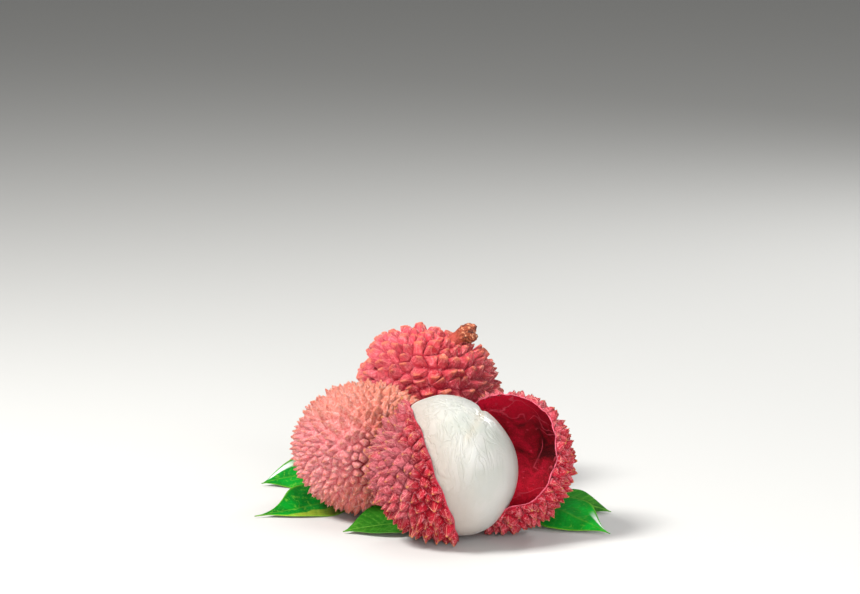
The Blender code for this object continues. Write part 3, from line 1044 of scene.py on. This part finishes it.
def fleshMaterial():
    # wet translucent flesh: cloudy white, greyer by the skin and low down where shade is painted, warm along
    # the crease, with thin wrinkles on its upper part painted a little darker as shade, and a painted
    # highlight round its outline where it is seen edge-on
    made, n, shader = newMaterial("whiteFlesh")
    place = n.add("ShaderNodeTexCoord").outputs["Object"]
    cloud = n.noise(place, 120.0, 3.0, 0.5, 0.8)
    stretched = n.add("ShaderNodeMapping")
    n.put(stretched.inputs["Vector"], place)
    stretched.inputs["Scale"].default_value = (1.0, 1.0, 0.32)
    stretched.inputs["Rotation"].default_value = (0.3, 0.7, 0.3)
    streaks = n.noise(stretched.outputs[0], 300.0, 4.0, 0.6, 1.0)
    away = n.math("ABSOLUTE", n.math("SUBTRACT", n.noise(stretched.outputs[0], 330.0, 2.0, 0.5, 1.6), 0.5))
    wrinkle = n.math("MULTIPLY", n.between(away, 0.09, 0.0), n.attribute("wrinkle"))
    colour = n.mix(n.between(cloud, 0.35, 0.65), paint(182, 182, 177), paint(170, 173, 166))
    colour = n.over(colour, n.between(streaks, 0.52, 0.75), 0.25, (198, 194, 181))
    colour = n.over(colour, n.between(streaks, 0.45, 0.25), 0.16, (160, 166, 157))
    # painted shade: greyer towards the lower right and bottom, and darker by the skin's edge
    colour = n.over(colour, n.attribute("low"), 0.6, (170, 166, 162))
    colour = n.over(colour, n.attribute("edge"), 0.75, (158, 145, 136))
    # painted shade: the wrinkle lines, grooves in the bump, are painted a little darker
    colour = n.over(colour, wrinkle, 0.12, (170, 166, 150))
    colour = n.over(colour, n.attribute("crease"), 0.55, (206, 182, 150))
    # painted highlight: a pale rim where the flesh is seen edge-on
    grazing = n.add("ShaderNodeLayerWeight")
    grazing.inputs["Blend"].default_value = 0.3
    paintedEdgeLight = n.between(grazing.outputs["Facing"], 0.6, 0.95, 0.0, 0.6)
    colour = n.mix(paintedEdgeLight, colour, paint(220, 222, 216))
    n.put(shader.inputs["Base Color"], colour)
    rough = n.between(streaks, 0.3, 0.7, 0.3, 0.42)
    n.put(shader.inputs["Roughness"], n.math("ADD", rough, n.math("MULTIPLY", n.attribute("edge"), 0.35)))
    height = n.math("SUBTRACT", n.math("MULTIPLY", streaks, 0.45), n.math("MULTIPLY", wrinkle, 0.42))
    n.put(shader.inputs["Normal"], n.bump(height, 0.6, 0.0006))
    shader.inputs["Specular IOR Level"].default_value = 0.3
    n.put(shader.inputs["Coat Weight"], n.between(n.attribute("edge"), 0.25, 0.0, 0.0, 0.3))
    setShader(shader, {
        "Coat Roughness": 0.05,
        "Subsurface Weight": 0.7,
        "Subsurface Radius": (1.0, 0.95, 0.85),
        "Subsurface Scale": 0.0022,
    })
    return made


def arcDistance(ways, start, end):
    # chord distance from each way to the arc between two directions, and the share along it
    start, end = unit(start), unit(end)
    pole = unit(np.cross(start, end))
    across = ways @ pole
    flat = unit(ways - across[:, None] * pole)
    side = np.cross(pole, start)
    whole = math.atan2(float(end @ side), float(end @ start))
    along = np.arctan2(flat @ side, flat @ start) / whole
    nearest = np.clip(along, 0, 1) * whole
    foot = start * np.cos(nearest)[:, None] + side * np.sin(nearest)[:, None]
    return np.linalg.norm(ways - foot, axis=1), np.clip(along, 0, 1)


fleshForm = {
    "grid": 100,
    "crease": ((0.42, 0.70, 0.57), (0.31, -0.79, 0.53)),  # the arc that it follows
    "creaseWidth": 0.042,
    "creaseDepth": 0.7,
    "shoulder": (0.2, 0.15, 0.15),  # how far from the crease, how wide, how high
    "dents": (((0.70, 0.10, 0.70), 1.0, 0.5), ((-0.1, 0.2, 0.97), 0.4, 0.5)),  # way, depth, width
}


def makeFlesh():
    o = openFruit
    ways, faces = ballWays(fleshForm["grid"])
    facing = unit(o["facing"])
    inside = np.array(o["axes"]) - tipDepth - openSkin["wall"] - o["clear"]
    points = ways * inside
    past = points @ facing - o["cut"]
    grown = o["proud"] * smooth(o["proudFrom"], o["proudFrom"] + o["proudRun"], past)
    bare = smooth(0.5, 4.0, past)
    distance, along = arcDistance(ways, *fleshForm["crease"])
    fade = 1 - 0.72 * smooth(0.36, 0.56, along) - 0.22 * smooth(0.56, 1.0, along)
    groove = np.exp(-((distance / fleshForm["creaseWidth"]) ** 2)) * fade
    far, wide, high = fleshForm["shoulder"]
    shoulder = np.exp(-(((distance - far) / wide) ** 2)) * fade
    # the top is a little lower than the swell alone would leave it, most of all on the right
    for way, depth, width in fleshForm["dents"]:
        off = np.arccos(np.clip(ways @ unit(way), -1, 1))
        grown = grown - depth * bare * np.exp(-((off / width) ** 2))
    creases = layeredNoise(ways * np.array([1.0, 1.0, 0.45]), 0.2, 50, 3)
    upper = smooth(0.2, 0.85, ways @ unit([-0.1, -0.55, 0.8]))
    height = grown - fleshForm["creaseDepth"] * groove * bare + high * shoulder * bare
    height += creases * (0.05 + 0.11 * upper) * bare
    points = points + ways * height[:, None]
    points = points + middleOf("open_fruit_skin", o["axes"], o["corner"])
    crease = np.exp(-((distance / 0.05) ** 2)) * smooth(0.3, 0.5, along)
    crease = crease * (1 - 0.6 * smooth(0.6, 1.0, along))
    values = {
        "crease": crease * (0.6 + 0.4 * noiseAt(ways, 0.08, 53)) * bare,
        "wrinkle": upper,
        # edge and low carry the painted shade by the skin and low down; edge also sets roughness and coat
        "edge": 1 - smooth(0.5, 9.0, past),
        "low": smooth(0.0, 1.2, ways @ unit([0.5, -0.2, -0.85]) + 0.4),
    }
    piece = meshPiece("flesh", points, faces, values)
    return finished(piece, "open_fruit_flesh", fleshMaterial())


def barkMaterial():
    # orange-red neck that turns to brown wood, with pale chipped fibres and dark pits on the wood, partly
    # its own texture and partly painted highlight and painted shade
    made, n, shader = newMaterial("stemBark")
    place = n.add("ShaderNodeTexCoord").outputs["Object"]
    small = useGroup(n, grain, Vector=place, Size=900.0, Twist=1.0)
    along = n.attribute("along")
    shift = n.math("ADD", along, n.math("MULTIPLY", n.noise(place, 500.0, 2.0), 0.3))
    colour = n.mix(n.between(shift, 0.45, 0.75), paint(188, 72, 58), paint(170, 80, 44))
    chips = n.noise(place, 750.0, 3.0, 0.6, 1.5)
    wood = n.between(shift, 0.55, 0.8)
    # the pale chips sit on the high points of the bump and the dark pits on its low points: partly the
    # wood's texture, partly painted highlight and painted shade
    colour = n.over(colour, n.between(chips, 0.55, 0.62), wood, (238, 180, 138))
    colour = n.over(colour, n.between(chips, 0.49, 0.41), wood, (74, 20, 8))
    colour = n.over(colour, small["Mottle"], 0.45, (170, 84, 62), "MULTIPLY")
    n.put(shader.inputs["Base Color"], colour)
    shader.inputs["Roughness"].default_value = 0.5
    n.put(shader.inputs["Normal"], n.bump(n.math("ADD", small["Height"], chips), 0.9, 0.0007))
    return made


stub = {
    "length": 7.6,
    "bend": math.radians(58),
    "profile": ((0.0, 2.3), (0.22, 1.8), (0.42, 1.6), (0.6, 2.1), (0.8, 2.3), (0.92, 2.1), (1.0, 1.7)),
    "rings": 110,
    "sides": 110,
    "ends": 14,
    "sunk": (0.3, 0, 1.1),  # moved back and down into the fruit
}


def makeStub():
    # radius along a bending line, with broad lumps, lengthwise fibres and a chipped end
    s = stub
    share = np.linspace(0, 1, s["rings"])
    angle = stemLean + s["bend"] * smooth(0.0, 0.9, share)
    way = np.stack([np.sin(angle), np.zeros_like(angle), np.cos(angle)], axis=1)
    across = np.stack([np.cos(angle), np.zeros_like(angle), -np.sin(angle)], axis=1)
    line = np.cumsum(way * s["length"] / (s["rings"] - 1), axis=0)
    turn = np.linspace(0, 2 * math.pi, s["sides"], endpoint=False)
    shares, radii = np.array(s["profile"]).T
    radius = np.interp(share, shares, radii)
    around = across[:, None, :] * np.cos(turn)[None, :, None]
    around = around + np.array([0, 1.0, 0]) * np.sin(turn)[None, :, None]
    skin = (line[:, None, :] + around * radius[:, None, None]).reshape(-1, 3)
    lumps = layeredNoise(skin, 1.2, 70, 4).reshape(s["rings"], s["sides"])
    chips = np.abs(layeredNoise(skin, 0.9, 75, 3)).reshape(s["rings"], s["sides"])
    grainy = smooth(0.35, 0.6, share)[:, None]
    reach = radius[:, None] + 0.5 * lumps + 0.45 * chips * grainy
    points = line[:, None, :] + around * reach[:, :, None]
    # the broken end steps back by a different length for each fibre
    torn = smooth(0.8, 1.0, share)[:, None]
    fibre = noiseAt(np.stack([np.cos(turn) * 2, np.sin(turn) * 2, turn * 0], axis=1), 0.55, 71)
    points += way[:, None, :] * (torn * fibre[None, :] * 0.5)[:, :, None]
    caps = []
    rim = points[-1]
    centre = rim.mean(axis=0)
    for ring in range(1, s["ends"]):
        k = ring / s["ends"]
        disc = centre + (rim - centre) * (1 - k)
        rough = layeredNoise(disc, 0.9, 72, 3) * math.sin(min(k * 5, 1.57))
        caps.append(disc + way[-1] * (0.55 * rough - 0.25 * math.sin(k * math.pi))[:, None])
    body = np.concatenate([points.reshape(-1, 3), *caps])
    rows = s["rings"] + len(caps)
    return body, gridFaces(rows, s["sides"], wrap=True), share, rows


def closedEnds(points, faces, rows, sides):
    # a fan of triangles closes each end of a tube; quads are split so that all faces are triangles
    triangles = np.concatenate([faces[:, [0, 1, 2]], faces[:, [0, 2, 3]]])
    first, last = np.arange(sides), (rows - 1) * sides + np.arange(sides)
    centres = np.array([points[first].mean(axis=0), points[last].mean(axis=0)])
    total = len(points)
    fans = [
        np.stack([np.roll(first, -1), first, np.full(sides, total)], axis=1),
        np.stack([last, np.roll(last, -1), np.full(sides, total + 1)], axis=1),
    ]
    return np.concatenate([points, centres]), np.concatenate([triangles, *fans])


def makeStem():
    points, faces, share, rows = makeStub()
    points, faces = closedEnds(points, faces, rows, stub["sides"])
    end = np.ones((rows - stub["rings"]) * stub["sides"])
    along = np.concatenate([np.repeat(share, stub["sides"]), end, [0, 1]])
    low, high = (np.array(corner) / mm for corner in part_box("back_fruit_stem"))
    shift = (low + high) / 2 - (points.min(axis=0) + points.max(axis=0)) / 2
    points = points + shift - np.array(stub["sunk"])
    a, b, c = (points[faces[:, k]] - points.mean(axis=0) for k in range(3))
    if np.einsum("nd,nd->n", a, np.cross(b, c)).sum() < 0:
        faces = faces[:, ::-1]
    piece = meshPiece("stem", points, faces, {"along": along})
    return finished(piece, "back_fruit_stem", barkMaterial())


def smoothPath(knots, count):
    # Catmull-Rom through the knots
    knots = np.array(knots, float)
    ends = np.vstack([2 * knots[0] - knots[1], knots, 2 * knots[-1] - knots[-2]])
    at = np.linspace(0, len(knots) - 1, count)
    i = np.minimum(at.astype(int), len(knots) - 2)
    t = (at - i)[:, None]
    a, b, c, d = (ends[i + k] for k in range(4))
    return 0.5 * (2 * b + (c - a) * t + (2 * a - 5 * b + 4 * c - d) * t**2 + (3 * b - a - 3 * c + d) * t**3)


leafShape = {
    "blade": 0.36,
    "edge": 0.45,
    "stalk": 1.1,
    "tip": 0.08,
    "curl": 0.3,
    "stations": 200,
    "across": 61,
    "veins": 12,
    "veinDepth": 0.05,
    "veinWidth": 0.28,
}


def leafMaterial(name, look):
    # mottled green, with veins, a midrib, yellow strokes, a darker base that is painted shade, and a whitish
    # strip that is a painted reflection
    made, n, shader = newMaterial(name)
    place = n.add("ShaderNodeTexCoord").outputs["Object"]
    small = useGroup(n, grain, Vector=place, Size=1100.0, Twist=0.4)
    broad = n.noise(place, 130.0, 3.0, 0.5, 0.3)
    fold = n.attribute("fold")
    paintedSheen = n.attribute("paintedSheen")
    out = n.attribute("out")
    vein = n.attribute("vein")
    rib = n.attribute("rib")
    under = n.attribute("under")
    colour = n.mix(n.between(broad, 0.35, 0.65), paint(*look["dark"]), paint(*look["light"]))
    colour = n.over(colour, fold, look["frontShare"], look["front"])
    colour = n.over(colour, vein, look["veinShare"], look["vein"])
    colour = n.over(colour, rib, look["ribShare"], look["rib"])
    colour = n.over(colour, n.between(out, 0.9, 1.0), look["edgeShare"], look["edge"])
    # short yellow strokes all over, and a darker base: painted shade where the leaf runs in under the fruits
    flecks = n.between(n.noise(place, 620.0, 4.0, 0.62, 1.3), 0.52, 0.68)
    colour = n.over(colour, flecks, look["fleckShare"], look["fleck"])
    shade = n.between(n.attribute("along"), 0.28, 0.62, 0.0, look["shadeShare"])
    colour = n.mix(shade, colour, paint(*look["shade"]))
    colour = n.over(colour, small["Mottle"], 0.3, (150, 190, 110), "MULTIPLY")
    colour = n.over(colour, under, 0.6, (132, 160, 92))
    # painted reflection: a whitish strip near one margin stands for the gloss on the curled edge
    paintedSheenMask = n.math("MULTIPLY", paintedSheen, n.between(broad, 0.3, 0.6, 0.6, 0.95))
    colour = n.mix(paintedSheenMask, colour, paint(228, 240, 230))
    n.put(shader.inputs["Base Color"], colour)
    n.put(shader.inputs["Roughness"], n.between(small["Mottle"], 0, 1, look["gloss"], look["gloss"] + 0.14))
    n.put(shader.inputs["Normal"], n.bump(small["Height"], 0.25, 0.0003))
    setShader(shader, {
        "Specular IOR Level": 0.08,
        "Coat Weight": look["coat"],
        "Coat Roughness": 0.16,
        "Subsurface Weight": 0.1,
        "Subsurface Radius": (0.4, 1.0, 0.2),
        "Subsurface Scale": 0.0008,
    })
    return made


def makeLeaf(name, leaf, material):
    # blade: along a midrib curve, each side stands at its own angle and its edge curls up;
    # half-width = sin(pi t / 0.95)^1.5, with a stalk at the base and a drawn-out tip
    s = leafShape
    node = leaf["node"]
    share = np.linspace(0, 1, s["stations"])
    rib = smoothPath(leaf["knots"], s["stations"])
    along = unit(np.gradient(rib, axis=0))
    side = unit(np.cross(along, [0.0, 0.0, 1.0]))
    side *= np.sign(side[:, 1:2])
    up = np.cross(along, side)
    up *= np.sign(up[:, 2:])
    blade = np.sin(np.pi * np.clip(share ** leaf["slim"] / 0.95, 0, 1)) ** 1.5
    reach = np.maximum(leaf["width"] / 2 * blade, s["tip"] + (s["stalk"] / 2 - s["tip"]) * share)
    lengthwise = np.linalg.norm(np.diff(rib, axis=0), axis=1).sum()
    a = np.linspace(-1, 1, s["across"])
    rise = np.radians(np.where(a < 0, leaf["frontRise"], leaf["backRise"]))[None, :]
    stalk = np.clip((share - 0.85) / 0.1, 0, 1)[:, None]
    rise = rise * (1 - stalk)
    far = reach[:, None] * np.abs(a)[None, :]
    wave = 0.5 * np.sin(share * 17 + 1)[:, None] * np.abs(a)[None, :] ** 3 * blade[:, None]
    out = reach[:, None] * a[None, :] * np.cos(rise)
    lift = far * np.sin(rise) + s["curl"] * blade[:, None] * a[None, :] ** 2 + 0.35 * wave
    # side veins run outwards and towards the tip, with the blade puffed up between them
    phase = (share[:, None] * lengthwise + 0.75 * far) / lengthwise * s["veins"]
    toVein = np.abs(phase - np.round(phase)) * lengthwise / s["veins"]
    vein = np.exp(-((toVein / s["veinWidth"]) ** 2)) * smooth(0.02, 0.12, blade)[:, None]
    vein = vein * (1 - np.abs(a)[None, :] ** 6)
    ribMask = np.exp(-((far / (0.13 + 0.24 * share[:, None])) ** 2))
    lift -= s["veinDepth"] * vein * (1 - ribMask)
    middle = rib[:, None, :] + out[:, :, None] * side[:, None, :]
    middle = middle + lift[:, :, None] * up[:, None, :]
    thick = s["blade"] * (1 - (1 - s["edge"]) * a**2)[None, :] * (0.4 + 0.6 * smooth(0, 0.1, share))[:, None]
    thick = thick + stalk * (s["stalk"] * np.sqrt(1.04 - a**2)[None, :] - thick)
    normal = unit(np.cross(np.gradient(middle, axis=1), np.gradient(middle, axis=0)))
    normal *= np.sign(np.sum(normal * up[:, None, :], axis=2, keepdims=True))
    top = middle + normal * thick[:, :, None] / 2
    under = middle - normal * (thick + 0.25 * ribMask)[:, :, None] / 2
    # one loop round the blade at each station: over the top, back underneath
    loops = np.concatenate([top, under[:, ::-1]], axis=1)
    columns = 2 * s["across"]
    points = loops.reshape(-1, 3)
    faces = gridFaces(s["stations"], columns, wrap=True)
    j = np.arange(s["across"] - 1)
    for base, turned in ((0, 1), ((s["stations"] - 1) * columns, -1)):
        cap = np.stack([j, j + 1, columns - 2 - j, columns - 1 - j], axis=1) + base
        faces = np.concatenate([faces, cap[:, ::turned]])
    faces = outwardFacing(points - points.mean(axis=0), faces)

    def both(upper, below):
        wide = np.broadcast_to(upper, (s["stations"], s["across"]))
        low = np.broadcast_to(below, (s["stations"], s["across"]))
        return np.concatenate([wide, low[:, ::-1]], axis=1).ravel()

    edgeAt = 1.02 - leaf["fold"] * smooth(0.12, 0.5, share)[:, None]
    fold = smooth(-0.05, 0.05, -a[None, :] - edgeAt + 0.05 * np.sin(share * 40)[:, None])
    # where the painted reflection strip lies along the leaf, as shares of its length
    first, last = leaf["paintedSheen"]
    strip = smooth(0.0, 0.08, share - first) * smooth(0.0, 0.12, last - share)
    paintedSheen = strip[:, None] * smooth(0.56, 0.68, a)[None, :] * smooth(0.93, 0.84, a)[None, :]
    values = {
        "fold": both(fold, fold),
        "paintedSheen": both(paintedSheen, np.zeros((1, s["across"]))),
        "out": both(np.abs(a)[None, :], np.abs(a)[None, :]),
        "vein": both(vein, vein * 0.6),
        "rib": both(ribMask, ribMask),
        "along": both(share[:, None], share[:, None]),
        "under": both(np.zeros((1, s["across"])), np.ones((1, s["across"]))),
    }
    low = (np.array(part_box(node)[0]) + np.array(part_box(node)[1])) / 2 / mm
    middleBox = (points.min(axis=0) + points.max(axis=0)) / 2
    points = points + (low - middleBox)
    points[:, 2] += max(0.05 - points[:, 2].min(), 0)
    piece = meshPiece(name, points, faces, values)
    return finished(piece, node, material)


darkLeaf = {
    "dark": (0, 92, 18), "light": (0, 142, 34), "front": (124, 168, 34), "frontShare": 0.0,
    "vein": (20, 140, 40), "veinShare": 0.3, "rib": (120, 176, 50), "ribShare": 0.3,
    "edge": (120, 176, 40), "edgeShare": 0.7, "gloss": 0.46, "coat": 0.0,
    "fleck": (120, 184, 56), "fleckShare": 0.5, "shade": (0, 62, 16), "shadeShare": 0.55,
}
lightLeaf = {
    "dark": (22, 88, 14), "light": (52, 118, 26), "front": (58, 124, 26), "frontShare": 0.3,
    "vein": (110, 170, 60), "veinShare": 0.14, "rib": (130, 184, 70), "ribShare": 0.4,
    "edge": (30, 96, 16), "edgeShare": 0.5, "gloss": 0.5, "coat": 0.02,
    "fleck": (104, 160, 56), "fleckShare": 0.3, "shade": (20, 80, 16), "shadeShare": 0.5,
}
leaves = {
    "leafLeftLow": {
        "node": "leaf_left_low",
        "knots": [(-45.2, 24.5, 0.5), (-37, 28.0, 1.0), (-28, 34.5, 1.4), (-14, 43.5, 1.0)],
        "width": 15, "frontRise": -11, "backRise": 30, "slot": "dark_leaf",
        "slim": 1.4, "fold": 0.62, "paintedSheen": (0.0, 0.0),
        "look": dict(darkLeaf, frontShare=0.85, front=(158, 168, 50)),
    },
    "leafLeftHigh": {
        "node": "leaf_left_high",
        "knots": [(-45.3, 58.7, 0.5), (-37, 60.5, 1.8), (-26, 61.5, 2.4), (-13.5, 61, 0.8)],
        "width": 14, "frontRise": -22, "backRise": 32, "slot": "dark_leaf",
        "slim": 1.0, "fold": 0.0, "paintedSheen": (0.05, 0.4),
        "look": darkLeaf,
    },
    "leafFront": {
        "node": "leaf_front",
        "knots": [(-23.4, 7.5, 0.6), (-16, 10, 1.2), (-8, 12.5, 1.5), (3, 18, 0.8)],
        "width": 15, "frontRise": -4, "backRise": 24, "slot": "light_leaf",
        "slim": 1.0, "fold": 0.0, "paintedSheen": (0.0, 0.0),
        "look": lightLeaf,
    },
    "leafRightLow": {
        "node": "leaf_right_low",
        "knots": [(39.9, 6.5, 0.5), (33.5, 12.5, 2.2), (26, 19, 3.8), (14, 29, 0.8)],
        "width": 14.5, "frontRise": -22, "backRise": 12, "slot": "dark_leaf",
        "slim": 1.2, "fold": 0.0, "paintedSheen": (0.03, 0.38),
        "look": dict(darkLeaf, dark=(0, 138, 30), light=(0, 180, 46), fleckShare=0.36),
    },
    "leafRightHigh": {
        "node": "leaf_right_high",
        "knots": [(41.2, 28, 0.5), (34, 31, 1.8), (25, 35, 2.4), (11, 39, 0.8)],
        "width": 11, "frontRise": -22, "backRise": 14, "slot": "light_leaf",
        "slim": 1.0, "fold": 0.0, "paintedSheen": (0.0, 0.0),
        "look": lightLeaf,
    },
}


def makeLeaves():
    for name, leaf in leaves.items():
        makeLeaf(name, leaf, leafMaterial(name + "Green", leaf["look"]))


floorHalf = 6000.0


def makeFloor():
    # a wide flat pale sheet
    across = np.linspace(-floorHalf, floorHalf, 9)
    x, y = np.meshgrid(across, across)
    points = np.stack([x, y, np.zeros_like(x)], axis=-1).reshape(-1, 3)
    floor = meshPiece("floor", points, gridFaces(9, 9))
    made, _, shader = newMaterial("paleFloor")
    setShader(shader, {
        "Base Color": paint(198, 198, 196),
        "Roughness": 0.8,
    })
    floor.data.materials.append(made)


def areaLight(name, place, aim, size, power, colour):
    # a square lamp turned towards aim
    light = bpy.data.lights.new(name, "AREA")
    light.shape = "SQUARE"
    light.size = size
    light.energy = power
    light.color = colour
    lamp = bpy.data.objects.new(name, light)
    bpy.context.scene.collection.objects.link(lamp)
    lamp.location = place
    lamp.rotation_mode = "QUATERNION"
    lamp.rotation_quaternion = (Vector(place) - Vector(aim)).to_track_quat("Z", "Y")


lamps = {  # place and size in metres, power in watts, colour
    "keyLight": ((-0.4, -0.2, 0.56), 0.2, 7.2, (1.0, 0.985, 0.96)),
    "fillLight": ((0.5, -0.5, 0.3), 0.4, 2.1, (0.97, 0.98, 1.0)),
    "frontLight": ((0.05, -0.6, 0.12), 0.3, 3.1, (1.0, 0.99, 0.98)),
    "topLight": ((0.0, 0.1, 0.6), 0.4, 0.9, (1.0, 1.0, 1.0)),
    "rimLight": ((0.36, 0.46, 0.33), 0.09, 1.2, (1.0, 1.0, 1.0)),
}


def makeLights():
    # the lamps all aim at the middle of the bunch, in a pale even room light
    middle = (0.0, 0.0, 0.018)
    for name, (place, size, power, colour) in lamps.items():
        areaLight(name, place, middle, size, power, colour)
    world = bpy.data.worlds.new("studio")
    world.use_nodes = True
    world.node_tree.nodes["Background"].inputs["Color"].default_value = paint(236, 236, 234)
    world.node_tree.nodes["Background"].inputs["Strength"].default_value = 0.27
    bpy.context.scene.world = world


view = {
    "elevation": math.radians(12.5),
    "distance": 842.0,
    "lens": 150.0,
    "above": 40.2,  # how far above the opened fruit's middle the camera aims
    "beside": -2.8,
}


def makeCamera():
    # distance and elevation from the opened fruit's middle give the place
    fruit = middleOf("open_fruit_skin", openFruit["axes"], openFruit["corner"])
    e = view["elevation"]
    place = fruit + view["distance"] * np.array([0, -math.cos(e), math.sin(e)])
    aim = fruit + view["above"] * np.array([0, math.sin(e), math.cos(e)]) + np.array([view["beside"], 0, 0])
    camera = bpy.data.cameras.new("camera")
    camera.lens = view["lens"]
    camera.clip_start = 0.01
    holder = bpy.data.objects.new("camera", camera)
    bpy.context.scene.collection.objects.link(holder)
    holder.location = Vector(place * mm)
    holder.rotation_mode = "QUATERNION"
    holder.rotation_quaternion = Vector(place - aim).to_track_quat("Z", "Y")
    bpy.context.scene.camera = holder


makeLeftFruit()
print("left fruit done")
makeBackFruit()
makeStem()
print("back fruit done")
makeOpenSkin()
makeFlesh()
makeEmptySkin()
print("opened fruit done")
makeLeaves()
print("leaves done")
makeFloor()
makeLights()
makeCamera()
bpy.context.scene.view_settings.view_transform = "Standard"
